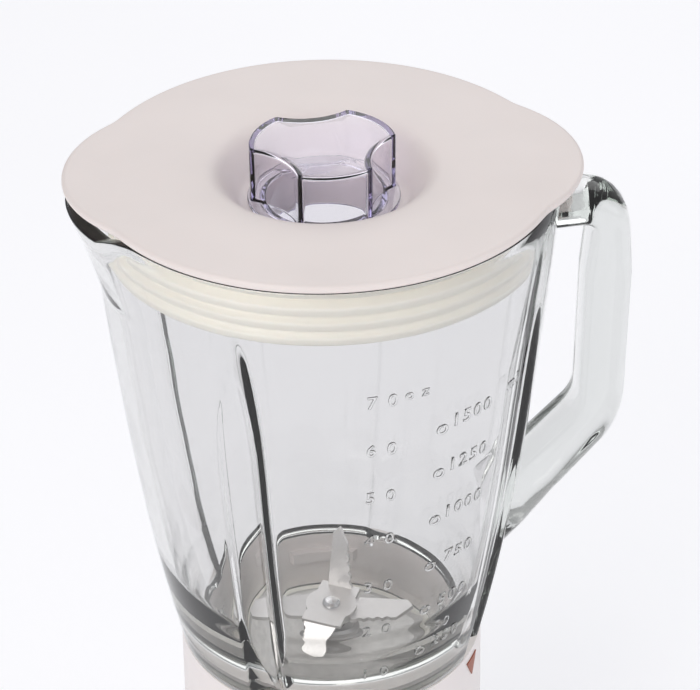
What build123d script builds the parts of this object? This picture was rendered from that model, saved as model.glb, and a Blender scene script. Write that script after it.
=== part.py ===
from build123d import *
import math
import os

# Countertop blender: motor base, blade unit, glass jug, lid and measuring cap.
# Millimetres, +Z up. The origin is the centre of the foot plane, on the blade axis.
# +X is the handle side, -X the spout side and -Y the front, with the speed knob.

# ---- Driving dimensions ---------------------------------------------------------

# Heights of the stack
FOOT_H = 6.0
PLATE_T = 2.5
DECK_Z = 148.5
SEAT_Z = 150.0
BOSS_TOP = 156.0
COLLAR_TOP = 196.0
LID_TOP = 385.4

# Base housing
BASE_R = 104.0
NECK_R = 57.8
SKIRT_TOP = 16.0
SHELL = 3.0
BOSS_OUTER, BOSS_INNER = 48.0, 42.0
FOOT_RING_R = 80.0
PLATE_SCREW_RING_R = 94.5
PIN_RING_R = 53.4
PIN_R = 2.5
PIN_TRAVEL = 3.0

# Speed knob, on a flat round face at the front
KNOB_Z = 60.0
KNOB_R = 19.0
KNOB_FACE = 84.0
KNOB_POCKET_R = 28.0

# Cord inlet, on a flat round face at the back
GLAND_Z = 25.0
GLAND_FACE = 96.0
GLAND_POCKET_R = 11.0

# Motor
SHAFT_R = 4.0
STACK_LOW, STACK_HIGH = 50.0, 84.0
STATOR_BORE_R = 22.0
UPPER_BRACKET_Z = 112.0
LOWER_BRACKET_Z = 34.0
BRACKET_T = 3.0
MOTOR_BOLT_X = 36.0
GROMMET_X, GROMMET_Y = 34.0, 27.0
COUPLING_LOBES = 6
COUPLING_ROOF = 162.0

# Blade unit
COLLAR_BOTTOM_R, COLLAR_TOP_R = 56.4, 55.6
COLLAR_BORE_R = 50.3
SHELF_Z = 168.0
DISH_Z = 180.4
BLADE_Z = 198.6
BLADE_T = 1.5
BLADE_SHAFT_R = 3.0
RUNNING_GAP = 0.05

# Glass jug: the wall's radius is a cubic of the height above the lid's top face
JUG_CUBIC = (78.09, 7.59, 0.463, 1.458)
JUG_TOP = LID_TOP - 3.2
JUG_WALL = 4.5
NECK_OUTER, NECK_INNER = 47.6, 42.5
NECK_BOTTOM = 175.2
TERRACE_TOP = 236.0
FLUTE_R = 8.0
FLUTE_TOP = LID_TOP - 39.0
FLUTE_START_ANGLE = 62.5
HANDLE_W = 22.0
HANDLE_REACH = 103.8

# Lid and measuring cap
LID_R = 77.0
LID_T = 3.0
TAB_R, TAB_X = 46.5, 38.5
LID_FLOOR = LID_TOP - 13.0
FEED_LOW = LID_TOP - 28.0
CAP_R = 24.2
CAP_TOP = LID_TOP + 7.6
CAP_WALL = 2.0
CAP_PLUG_R = 20.7


# ---- Helpers --------------------------------------------------------------------

def tube(low, high, outer, inner=0.0, mode=Mode.ADD):
    """An upright disc or tube between two heights, in the open part."""
    with BuildSketch(Plane.XY.offset(low)) as section:
        Circle(outer)
        if inner:
            Circle(inner, mode=Mode.SUBTRACT)
    extrude(section.sketch, amount=high - low, mode=mode)


def spin(points, mode=Mode.ADD):
    """A ring with the given (radius, height) outline, in the open part."""
    with BuildSketch(Plane.XZ) as section:
        with BuildLine():
            Polyline(*points, close=True)
        make_face()
    revolve(section.sketch, axis=Axis.Z, mode=mode)


def posts(places, low, high, outer, inner=0.0, mode=Mode.ADD):
    """Round posts at the given (x, y) places, in the open part."""
    with BuildSketch(Plane.XY.offset(low)) as section:
        with Locations(*places):
            Circle(outer)
        if inner:
            with Locations(*places):
                Circle(inner, mode=Mode.SUBTRACT)
    extrude(section.sketch, amount=high - low, mode=mode)


def block(x, y, z, mode=Mode.ADD):
    """A box between pairs of limits, in the open part."""
    middle = ((x[0] + x[1]) / 2, (y[0] + y[1]) / 2, (z[0] + z[1]) / 2)
    with Locations(middle):
        Box(x[1] - x[0], y[1] - y[0], z[1] - z[0], mode=mode)


def barrel(near, far, radius, height, inner=0.0, mode=Mode.ADD):
    """A disc or tube along Y between two distances from the axis, in the open part."""
    with BuildSketch(Plane.XZ.offset(-near)) as section:
        with Locations((0, height)):
            Circle(radius)
            if inner:
                Circle(inner, mode=Mode.SUBTRACT)
    extrude(section.sketch, amount=near - far, mode=mode)


def ring_places(radius, count, start):
    """The (x, y) places of a ring of posts, from a start angle in degrees."""
    angles = [math.radians(start + 360 * k / count) for k in range(count)]
    return [(radius * math.cos(a), radius * math.sin(a)) for a in angles]


def wall_radius(height):
    """Outer radius of the plain jug wall at a height."""
    t = (height - LID_TOP) / 100
    return sum(factor * t ** power for power, factor in enumerate(JUG_CUBIC))


def wall_line(offset, top, bottom):
    """Points down the jug wall, moved out by offset, for a spline."""
    steps = 5
    heights = [top + (bottom - top) * k / steps for k in range(steps + 1)]
    return [(wall_radius(h) + offset, h) for h in heights]


def save(piece, name):
    """Name a finished piece and write its STEP file."""
    piece.part.label = name
    export_step(piece.part, f"parts/{name}.step")


FEET = ring_places(FOOT_RING_R, 4, 45)
PLATE_SCREWS = ring_places(PLATE_SCREW_RING_R, 4, 22.5)
MOTOR_BOLTS = [(MOTOR_BOLT_X, 0), (-MOTOR_BOLT_X, 0)]
GROMMETS = [(sx * GROMMET_X, sy * GROMMET_Y) for sx in (1, -1) for sy in (1, -1)]
PLATE_TOP = FOOT_H + PLATE_T
CAVITY_TOP = DECK_Z - 3.5
BOARD_X, BOARD_Y = (-82.0, -44.0), (10.0, 50.0)
BOARD_Z = 14.0
BOARD_POSTS = [(x, y) for x in (-79.0, -47.0) for y in (13.0, 47.0)]

os.makedirs("parts", exist_ok=True)


# ---- Base housing ---------------------------------------------------------------

def housing_body(inset):
    """The bell-shaped body, drawn in by an inset, as a solid of revolution."""
    edge = BASE_R - inset
    neck = NECK_R - inset
    with BuildPart() as body:
        with BuildSketch(Plane.XZ):
            with BuildLine():
                Line((0, FOOT_H - 1), (edge, FOOT_H - 1))
                Line((edge, FOOT_H - 1), (edge, SKIRT_TOP))
                Spline(
                    (edge, SKIRT_TOP), (edge - 11, 55), (edge - 26, 100), (edge - 38, 126),
                    (neck, DECK_Z - 4), tangents=((0, 1), (-0.08, 1)),
                )
                Line((neck, DECK_Z - 4), (neck - 0.6, DECK_Z))
                Line((neck - 0.6, DECK_Z), (0, DECK_Z))
                Line((0, DECK_Z), (0, FOOT_H - 1))
            make_face()
        revolve(axis=Axis.Z)
    return body.part


def build_base_housing():
    """Moulded shell with its deck, the seat for the collar, posts and guides."""
    with BuildPart() as cavity:
        add(housing_body(SHELL))
        block((-BASE_R, BASE_R), (-BASE_R, BASE_R), (CAVITY_TOP, DECK_Z + 1), Mode.SUBTRACT)
        barrel(-60, -KNOB_FACE + SHELL, KNOB_POCKET_R - SHELL, KNOB_Z)
        barrel(-KNOB_FACE + SHELL, -BASE_R, KNOB_POCKET_R + SHELL, KNOB_Z, mode=Mode.SUBTRACT)
        barrel(GLAND_FACE - SHELL, BASE_R, GLAND_POCKET_R + SHELL, GLAND_Z, mode=Mode.SUBTRACT)
    with BuildPart() as housing:
        add(housing_body(0))
        barrel(-60, -KNOB_FACE, KNOB_POCKET_R, KNOB_Z)
        barrel(-KNOB_FACE, -BASE_R - 1, KNOB_POCKET_R, KNOB_Z, mode=Mode.SUBTRACT)
        barrel(GLAND_FACE, BASE_R + 1, GLAND_POCKET_R, GLAND_Z, mode=Mode.SUBTRACT)
        add(cavity.part, mode=Mode.SUBTRACT)
        # seat groove and the keyed boss that stops the collar turning
        tube(DECK_Z - 1.5, DECK_Z + 1, 56, 50.5, Mode.SUBTRACT)
        tube(DECK_Z, BOSS_TOP, BOSS_OUTER, BOSS_INNER)
        with BuildSketch(Plane.XY.offset(DECK_Z)) as notches:
            with PolarLocations(BOSS_OUTER - 3, 4, start_angle=45):
                Rectangle(12, 9.2)
        extrude(notches.sketch, amount=BOSS_TOP - DECK_Z + 1, mode=Mode.SUBTRACT)
        # posts for the motor and for the bottom plate
        posts(GROMMETS, UPPER_BRACKET_Z + BRACKET_T + 7, CAVITY_TOP, 5, 1.9)
        posts(PLATE_SCREWS, PLATE_TOP, 30, 6)
        posts(PLATE_SCREWS, PLATE_TOP - 1, 24, 1.6, mode=Mode.SUBTRACT)
        # guide for the interlock pin
        posts([(0, PIN_RING_R)], 138, CAVITY_TOP, 4.2)
        posts([(0, PIN_RING_R)], 137, DECK_Z + 1, PIN_R + RUNNING_GAP, mode=Mode.SUBTRACT)
        # shaft, knob spindle and cord inlet
        tube(CAVITY_TOP - 1, DECK_Z + 1, 7, mode=Mode.SUBTRACT)
        barrel(-KNOB_FACE + SHELL + 1, -KNOB_FACE - 1, 3.5, KNOB_Z, mode=Mode.SUBTRACT)
        barrel(GLAND_FACE - SHELL - 1, GLAND_FACE + 1, 6, GLAND_Z, mode=Mode.SUBTRACT)
    save(housing, "base_housing")


def build_base_plate():
    """Bottom plate with air slots under the fan and standoffs for the board."""
    with BuildPart() as plate:
        tube(FOOT_H, PLATE_TOP, BASE_R - SHELL - 0.5)
        posts(FEET, FOOT_H, PLATE_TOP, 3, mode=Mode.SUBTRACT)
        posts(PLATE_SCREWS, FOOT_H, PLATE_TOP, 1.8, mode=Mode.SUBTRACT)
        with BuildSketch(Plane.XY.offset(FOOT_H)):
            with PolarLocations(28, 16):
                SlotOverall(22, 3.5)
        extrude(amount=PLATE_T, mode=Mode.SUBTRACT)
        posts(BOARD_POSTS, PLATE_TOP, BOARD_Z, 3)
    save(plate, "base_plate")


def build_feet_and_screws():
    """Rubber feet with barbed stems, and the screws of the bottom plate."""
    with BuildPart() as feet:
        posts(FEET, 0, FOOT_H, 9)
        posts(FEET, FOOT_H, PLATE_TOP, 3)
        posts(FEET, PLATE_TOP, PLATE_TOP + 2, 4.2)
    save(feet, "rubber_feet")
    with BuildPart() as screws:
        posts(PLATE_SCREWS, FOOT_H - 2, FOOT_H, 3.6)
        posts(PLATE_SCREWS, FOOT_H, 22, 1.6)
    save(screws, "base_screws")


def build_deck_seal():
    """Rubber ring under the collar, with a hole for the interlock pin."""
    with BuildPart() as seal:
        tube(DECK_Z - 1.5, SEAT_Z, 55.8, 50.7)
        posts([(0, PIN_RING_R)], DECK_Z - 2, SEAT_Z + 1, PIN_R + 0.3, mode=Mode.SUBTRACT)
    save(seal, "deck_seal")


def build_inlet_and_controls():
    """Cord gland, knob scale ring, rotary switch, board, capacitor and interlock switch."""
    with BuildPart() as gland:
        barrel(GLAND_FACE - SHELL - 5, GLAND_FACE, 6, GLAND_Z)
        barrel(GLAND_FACE, GLAND_FACE + 3, 9, GLAND_Z)
        barrel(GLAND_FACE - SHELL - 3, GLAND_FACE - SHELL, 8.5, GLAND_Z)
        barrel(GLAND_FACE - 10, GLAND_FACE + 4, 3.6, GLAND_Z, mode=Mode.SUBTRACT)
    save(gland, "cord_gland")

    with BuildPart() as bezel:
        barrel(-KNOB_FACE, -KNOB_FACE - 1.6, 26.5, KNOB_Z, 4)
    save(bezel, "knob_scale_ring")

    with BuildPart() as switch:
        front = -KNOB_FACE + SHELL
        block((-12, 12), (front, front + 22), (KNOB_Z - 12, KNOB_Z + 12))
        barrel(front + 14, front, 3.3, KNOB_Z, mode=Mode.SUBTRACT)
        with Locations((0, front + 24, KNOB_Z - 6), (0, front + 24, KNOB_Z + 6)):
            Box(14, 4, 0.8)
    save(switch, "speed_switch")

    with BuildPart() as board:
        block(BOARD_X, BOARD_Y, (BOARD_Z, BOARD_Z + 1.6))
    save(board, "circuit_board")

    with BuildPart() as capacitor:
        block((-78, -54), (16, 28), (BOARD_Z + 1.6, BOARD_Z + 18))
    save(capacitor, "suppressor_capacitor")

    with BuildPart() as rectifier:
        block((-76, -58), (36, 42), (BOARD_Z + 1.6, BOARD_Z + 17))
    save(rectifier, "rectifier")

    with BuildPart() as interlock:
        block((-6, 6), (PIN_RING_R - 8, PIN_RING_R + 4), (110, 121))
        block((-6, 6), (PIN_RING_R - 10, PIN_RING_R - 8), (110, CAVITY_TOP))
    save(interlock, "interlock_switch")


# ---- Motor ----------------------------------------------------------------------

def build_stator():
    """Laminated stack, with a field coil round each of its two poles."""
    windows = [(sx * 18, sy * 24) for sx in (1, -1) for sy in (1, -1)]
    with BuildPart() as stack:
        with BuildSketch(Plane.XY.offset(STACK_LOW)):
            RectangleRounded(84, 66, 8)
            Circle(STATOR_BORE_R, mode=Mode.SUBTRACT)
            with Locations(*windows):
                Rectangle(8, 8, mode=Mode.SUBTRACT)
            with Locations(*MOTOR_BOLTS):
                Circle(2.2, mode=Mode.SUBTRACT)
        extrude(amount=STACK_HIGH - STACK_LOW)
    save(stack, "motor_stator")

    with BuildPart() as coils:
        for low in (STACK_LOW - 7, STACK_HIGH + 0.2):
            with BuildSketch(Plane.XY.offset(low)) as turns:
                for side in (1, -1):
                    with BuildLine():
                        Polyline(
                            (side * 18, 24.5), (side * 27.5, 12),
                            (side * 27.5, -12), (side * 18, -24.5),
                        )
                    trace(line_width=6.5)
            extrude(turns.sketch, amount=6.8)
        for x, y in windows:
            block((x - 3.2, x + 3.2), (y - 3.2, y + 3.2), (STACK_LOW - 7, STACK_HIGH + 7))
    save(coils, "field_coils")


def build_brackets():
    """Upper and lower end brackets with bearing bosses and legs to the stack."""
    upper_top = UPPER_BRACKET_Z + BRACKET_T
    with BuildPart() as upper:
        with BuildSketch(Plane.XY.offset(UPPER_BRACKET_Z)):
            RectangleRounded(84, 68, 8)
        extrude(amount=BRACKET_T)
        tube(UPPER_BRACKET_Z - 4, upper_top + 5, 11)
        posts(MOTOR_BOLTS, STACK_HIGH, UPPER_BRACKET_Z, 4)
        tube(UPPER_BRACKET_Z - 5, upper_top + 6, 8, mode=Mode.SUBTRACT)
        posts(MOTOR_BOLTS, STACK_HIGH - 1, upper_top + 1, 2.2, mode=Mode.SUBTRACT)
        posts(GROMMETS, UPPER_BRACKET_Z - 1, upper_top + 1, 2.2, mode=Mode.SUBTRACT)
    save(upper, "motor_bracket_upper")

    with BuildPart() as lower:
        with BuildSketch(Plane.XY.offset(LOWER_BRACKET_Z)):
            SlotOverall(86, 28)
        extrude(amount=BRACKET_T)
        tube(LOWER_BRACKET_Z - 4, LOWER_BRACKET_Z + BRACKET_T + 3, 11)
        posts(MOTOR_BOLTS, LOWER_BRACKET_Z + BRACKET_T, STACK_LOW, 4)
        tube(LOWER_BRACKET_Z - 5, LOWER_BRACKET_Z + 10, 8, mode=Mode.SUBTRACT)
        posts(MOTOR_BOLTS, LOWER_BRACKET_Z - 1, STACK_LOW + 1, 2.2, mode=Mode.SUBTRACT)
    save(lower, "motor_bracket_lower")

    with BuildPart() as upper_bearing:
        tube(UPPER_BRACKET_Z - 4, upper_top + 5, 8, SHAFT_R + RUNNING_GAP)
    save(upper_bearing, "upper_bearing")
    with BuildPart() as lower_bearing:
        tube(LOWER_BRACKET_Z - 4, LOWER_BRACKET_Z + BRACKET_T + 3, 8, SHAFT_R + RUNNING_GAP)
    save(lower_bearing, "lower_bearing")

    with BuildPart() as bolts:
        posts(MOTOR_BOLTS, LOWER_BRACKET_Z - 3, LOWER_BRACKET_Z, 3.6)
        posts(MOTOR_BOLTS, LOWER_BRACKET_Z, upper_top + 5, 2)
        posts(MOTOR_BOLTS, upper_top, upper_top + 3, 3.4)
    save(bolts, "motor_bolts")


def build_motor_mounts():
    """Rubber grommets that hang the motor from the deck posts, and their screws."""
    top = UPPER_BRACKET_Z + BRACKET_T
    with BuildPart() as grommets:
        posts(GROMMETS, top, top + 7, 6, 2)
    save(grommets, "motor_grommets")
    with BuildPart() as screws:
        posts(GROMMETS, UPPER_BRACKET_Z - 2.5, UPPER_BRACKET_Z, 4)
        posts(GROMMETS, UPPER_BRACKET_Z, top + 19, 1.8)
    save(screws, "motor_screws")


def build_brush_gear():
    """Two brush holders under the upper bracket, and their carbon brushes."""
    low, high = 94.0, 105.0
    with BuildPart() as holders:
        for side in (1, -1):
            span = sorted((side * 14, side * 32))
            block((-4.5, 4.5), span, (low, high))
            block((-4.5, 4.5), sorted((side * 20, side * 30)), (high, UPPER_BRACKET_Z))
        for side in (1, -1):
            block((-3.1, 3.1), sorted((side * 13, side * 30)), (low + 1.4, high - 1.4), Mode.SUBTRACT)
    save(holders, "brush_holders")
    with BuildPart() as brushes:
        for side in (1, -1):
            block((-3, 3), sorted((side * 11.4, side * 27)), (low + 1.6, high - 1.6))
    save(brushes, "carbon_brushes")


def build_rotor():
    """Shaft, slotted core, windings, commutator, fan and the lobed drive coupling."""
    slot_r = 17.6
    with BuildPart() as shaft:
        tube(17, 158, SHAFT_R)
    save(shaft, "rotor_shaft")

    with BuildPart() as core:
        with BuildSketch(Plane.XY.offset(STACK_LOW)):
            Circle(STATOR_BORE_R - 0.6)
            Circle(SHAFT_R, mode=Mode.SUBTRACT)
            with PolarLocations(slot_r, 12):
                Rectangle(7.8, 3.4, mode=Mode.SUBTRACT)
        extrude(amount=STACK_HIGH - STACK_LOW)
    save(core, "rotor_core")

    with BuildPart() as windings:
        tube(STACK_LOW - 6, STACK_LOW - 0.2, 20, SHAFT_R)
        tube(STACK_HIGH + 0.2, STACK_HIGH + 6, 20, SHAFT_R)
        with BuildSketch(Plane.XY.offset(STACK_LOW - 1)) as bars:
            with PolarLocations(slot_r - 0.5, 12):
                Rectangle(6, 2.8)
        extrude(bars.sketch, amount=STACK_HIGH - STACK_LOW + 2)
    save(windings, "rotor_windings")

    with BuildPart() as commutator:
        with BuildSketch(Plane.XY.offset(91)):
            Circle(11)
            Circle(SHAFT_R, mode=Mode.SUBTRACT)
            with PolarLocations(10.5, 24):
                Rectangle(1.6, 0.5, mode=Mode.SUBTRACT)
        extrude(amount=15)
    save(commutator, "commutator")

    with BuildPart() as fan:
        tube(18, 29, 8, SHAFT_R)
        tube(26, 27.5, 36, SHAFT_R)
        with BuildSketch(Plane.XY.offset(18)) as vanes:
            with PolarLocations(21.5, 12):
                Rectangle(28, 1.4, rotation=18)
        extrude(vanes.sketch, amount=8.2)
    save(fan, "cooling_fan")

    with BuildPart() as coupling:
        with BuildSketch(Plane.XY.offset(DECK_Z + 1)):
            Circle(9.5)
            with PolarLocations(9.5, COUPLING_LOBES):
                Circle(3.2)
        extrude(amount=11.5)
        tube(DECK_Z, 158, SHAFT_R, mode=Mode.SUBTRACT)
    save(coupling, "drive_coupling")


# ---- Speed knob and interlock pin -------------------------------------------------

def build_knob():
    """Turned knob with a raised grip bar, its spindle and an inlaid pointer."""
    back = -KNOB_FACE - 2.2
    with BuildPart() as knob:
        barrel(back, back - 5, KNOB_R, KNOB_Z)
        chamfer(knob.edges().group_by(Axis.Y)[0], 1.2)
        with BuildSketch(Plane.XZ.offset(-back + 5)):
            with Locations((0, KNOB_Z)):
                SlotOverall(2 * KNOB_R - 4, 10, rotation=90)
        extrude(amount=8)
        with BuildSketch(Plane.XZ.offset(-back + 12.4)):
            with Locations((0, KNOB_Z + KNOB_R - 9)):
                Rectangle(2, 8)
        extrude(amount=2, mode=Mode.SUBTRACT)
        barrel(back - 0.5, back + 1, SHAFT_R, KNOB_Z, mode=Mode.SUBTRACT)
    save(knob, "speed_knob")

    with BuildPart() as spindle:
        barrel(-70, back - 0.5, 3, KNOB_Z)
    save(spindle, "knob_spindle")

    with BuildPart() as pointer:
        with BuildSketch(Plane.XZ.offset(-back + 12.4)):
            with Locations((0, KNOB_Z + KNOB_R - 9)):
                Rectangle(2, 8)
        extrude(amount=0.6)
    save(pointer, "knob_pointer")


def build_interlock_pin():
    """Pin that the collar holds down, and the spring that pushes it up."""
    place = [(0, PIN_RING_R)]
    with BuildPart() as pin:
        posts(place, 121.5, SEAT_Z, PIN_R)
        posts(place, 129, 130.5, 4.2)
    save(pin, "interlock_pin")
    with BuildPart() as spring:
        posts(place, 121, 129, 4, 2.9)
    save(spring, "interlock_spring")


# ---- Blade unit -------------------------------------------------------------------

def collar_outline(low, high):
    """Outer radii of the slightly conical collar at two heights."""
    slope = (COLLAR_TOP_R - COLLAR_BOTTOM_R) / (COLLAR_TOP - SEAT_Z)
    return [COLLAR_BOTTOM_R + slope * (z - SEAT_Z) for z in (low, high)]


def build_collar():
    """Collar that carries the jug: bayonet rim above, keyed skirt below."""
    with BuildPart() as collar:
        spin([
            (COLLAR_BORE_R, SEAT_Z), (COLLAR_BOTTOM_R, SEAT_Z),
            (COLLAR_TOP_R, COLLAR_TOP - 0.3), (COLLAR_BORE_R, COLLAR_TOP - 0.3),
        ])
        tube(SHELF_Z, SHELF_Z + 3, COLLAR_BORE_R + 1, 20)
        # bayonet lips over the jug's lugs
        with BuildSketch(Plane.XY.offset(184.3)) as lips:
            Circle(COLLAR_BORE_R + 1)
            Circle(NECK_OUTER + 0.4, mode=Mode.SUBTRACT)
            with PolarLocations(COLLAR_BORE_R, 4, start_angle=45):
                Rectangle(20, 48, mode=Mode.SUBTRACT)
        extrude(lips.sketch, amount=3.7)
        # keys that drop into the boss on the deck
        with BuildSketch(Plane.XY.offset(SEAT_Z)) as keys:
            with PolarLocations(48.3, 4, start_angle=45):
                Rectangle(6, 8)
        extrude(keys.sketch, amount=10)
    save(collar, "jug_collar")

    # alignment mark on the collar's side, a thin moulded triangle
    low, high = COLLAR_TOP - 12, COLLAR_TOP - 4
    low_r, high_r = collar_outline(low, high)
    with BuildPart() as mark:
        spin([(low_r, low), (low_r + 0.4, low), (high_r + 0.4, high), (high_r, high)])
        side = Plane.XZ.rotated((0, 0, 62))
        with BuildSketch(side) as arrow:
            with BuildLine():
                Polyline((-4.5, high), (4.5, high), (0, low), close=True)
            make_face()
        extrude(arrow.sketch, amount=70, mode=Mode.INTERSECT)
    save(mark, "collar_mark")


def build_dish():
    """Steel floor dish, its gasket, and the bearing housing with nut, bushes and seal."""
    with BuildPart() as dish:
        spin([
            (9.1, DISH_Z), (34, DISH_Z), (39.5, 176.5), (39.5, 173), (50, 173), (50, 171),
            (37.5, 171), (37.5, 175.6), (33.4, DISH_Z - 1.6), (9.1, DISH_Z - 1.6),
        ])
    save(dish, "blade_dish")

    with BuildPart() as gasket:
        tube(173, NECK_BOTTOM - 0.2, 49.5, 40)
    save(gasket, "bowl_seal")

    with BuildPart() as housing:
        spin([
            (5, 170), (9.1, 170), (9.1, DISH_Z), (12.5, DISH_Z), (12.5, 182.5),
            (10.5, 184), (10.5, 190), (8.5, 192.5), (5, 192.5),
        ])
    save(housing, "bearing_housing")

    with BuildPart() as nut:
        with BuildSketch(Plane.XY.offset(DISH_Z - 6.6)):
            RegularPolygon(15, 6)
            Circle(9.1, mode=Mode.SUBTRACT)
        extrude(amount=5)
    save(nut, "bearing_nut")

    with BuildPart() as bushes:
        tube(170, 178, 5, BLADE_SHAFT_R + RUNNING_GAP)
        tube(181, 188, 5, BLADE_SHAFT_R + RUNNING_GAP)
    save(bushes, "blade_bushes")
    with BuildPart() as seal:
        tube(188.5, 192.3, 5, BLADE_SHAFT_R + RUNNING_GAP)
    save(seal, "shaft_seal")


# ---- Blade ------------------------------------------------------------------------

def wing(angle, tilt, root, length, width, height, taper=0.25):
    """One serrated wing: a tapered plate that leaves the hub at an angle, tilted up or down."""
    turn, rise = math.radians(angle), math.radians(tilt)
    out = Vector(math.cos(turn) * math.cos(rise), math.sin(turn) * math.cos(rise), math.sin(rise))
    up = Vector(-math.cos(turn) * math.sin(rise), -math.sin(turn) * math.sin(rise), math.cos(rise))
    start = Vector(root * math.cos(turn), root * math.sin(turn), height)
    half = width / 2
    with BuildPart() as plate:
        with BuildSketch(Plane(origin=start, x_dir=out, z_dir=up)):
            with BuildLine():
                Polyline(
                    (0, -half), (length * 0.75, -half * (1 - taper)), (length, half * 0.3),
                    (length * 0.9, half * 0.8), (0, half), close=True,
                )
            make_face()
            edge = [(0.75 * share, 1 - taper * share) for share in (0.2, 0.4, 0.6, 0.8)]
            with Locations(*[(length * x, -half * y - 0.9) for x, y in edge]):
                Circle(1.6, mode=Mode.SUBTRACT)
        extrude(amount=BLADE_T)
    return plate.part


def build_blades():
    """Two crossed blades, the shaft, the rivet on top and the driven coupling."""
    hub_r = 9.5
    strip_reach = 11.6
    bore_r = 2.5
    upper_z = BLADE_Z + BLADE_T
    with BuildPart() as lower:
        tube(BLADE_Z, upper_z, hub_r)
        add(wing(-12, 4, hub_r - 1.5, 22.5, 13, BLADE_Z - 0.12))
        add(wing(168, -8, hub_r - 1.5, 22.5, 13, BLADE_Z - 0.05))
        tube(BLADE_Z - 6, upper_z + 6, bore_r, mode=Mode.SUBTRACT)
    save(lower, "blade_lower")

    with BuildPart() as upper:
        tube(upper_z, upper_z + BLADE_T, hub_r)
        with BuildSketch(Plane.XY.offset(upper_z)) as strip:
            Rectangle(2 * strip_reach, 15, rotation=66)
        extrude(strip.sketch, amount=BLADE_T)
        add(wing(-114, -50, strip_reach - 0.3, 19, 12, upper_z + 0.27))
        add(wing(66, 80, strip_reach - 0.4, 26, 9.5, upper_z, 0.6))
        tube(upper_z - 6, upper_z + 6, bore_r, mode=Mode.SUBTRACT)
    save(upper, "blade_upper")

    with BuildPart() as shaft:
        tube(COUPLING_ROOF, BLADE_Z, BLADE_SHAFT_R)
        tube(BLADE_Z - 2.2, BLADE_Z, 6)
        tube(BLADE_Z, upper_z + BLADE_T, bore_r)
    save(shaft, "blade_shaft")

    with BuildPart() as rivet:
        spin([
            (0, upper_z + BLADE_T), (3.4, upper_z + BLADE_T), (3.2, upper_z + BLADE_T + 0.8),
            (2.2, upper_z + BLADE_T + 1.5), (0, upper_z + BLADE_T + 1.7),
        ])
    save(rivet, "blade_rivet")

    with BuildPart() as coupling:
        tube(152, 166, 18)
        tube(166, 168.5, 7)
        with BuildSketch(Plane.XY.offset(152)) as socket:
            Circle(10.2)
            with PolarLocations(9.5, COUPLING_LOBES):
                Circle(3.9)
        extrude(socket.sketch, amount=COUPLING_ROOF - 152, mode=Mode.SUBTRACT)
        tube(COUPLING_ROOF, 169, BLADE_SHAFT_R, mode=Mode.SUBTRACT)
    save(coupling, "driven_coupling")


# ---- Glass jug --------------------------------------------------------------------

def flute(radius):
    """Round-ended bar that follows the wall: the shape of one flute."""
    start = FLUTE_TOP - FLUTE_R
    line = wall_line(0.5, start, COLLAR_TOP)
    with BuildPart() as bar:
        with BuildLine(Plane.XZ) as path:
            Spline(*line)
        with BuildSketch(Plane(origin=path.line @ 0, z_dir=path.line % 0)):
            Circle(radius)
        sweep(path=path.line)
        with Locations(path.line @ 0):
            Sphere(radius)
        with Locations((line[-1][0], 0, COLLAR_TOP)):
            Sphere(radius)
    return bar.part


def spout(inset, top):
    """Tapered round lobe under the left tab, narrowed by an inset."""
    with BuildPart() as lobe:
        with BuildSketch(Plane.XY.offset(top)):
            with Locations((-64, 0)):
                Circle(20 - inset)
        with BuildSketch(Plane.XY.offset(LID_TOP - 34)):
            with Locations((-63, 0)):
                Circle(12 - inset)
        loft()
    return lobe.part


def handle():
    """Solid glass handle: flat arm above, upright grip, slanted arm below."""
    top, z0 = LID_TOP - 12, LID_TOP
    with BuildPart() as grip:
        with BuildSketch(Plane.XZ.offset(-HANDLE_W / 2)):
            with BuildLine():
                FilletPolyline(
                    (60, top), (HANDLE_REACH, top), (HANDLE_REACH, z0 - 103), (66, z0 - 147),
                    radius=11,
                )
                Line((66, z0 - 147), (60, z0 - 128))
                FilletPolyline(
                    (60, z0 - 128), (87, z0 - 95), (87, z0 - 24), (60, z0 - 24), radius=7,
                )
                Line((60, z0 - 24), (60, top))
            make_face()
        extrude(amount=HANDLE_W)
        long_edges = grip.faces().filter_by(Axis.Y).edges()
        fillet(long_edges.filter_by(lambda edge: edge.center().X > 67), 4.5)
    return grip.part


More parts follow.
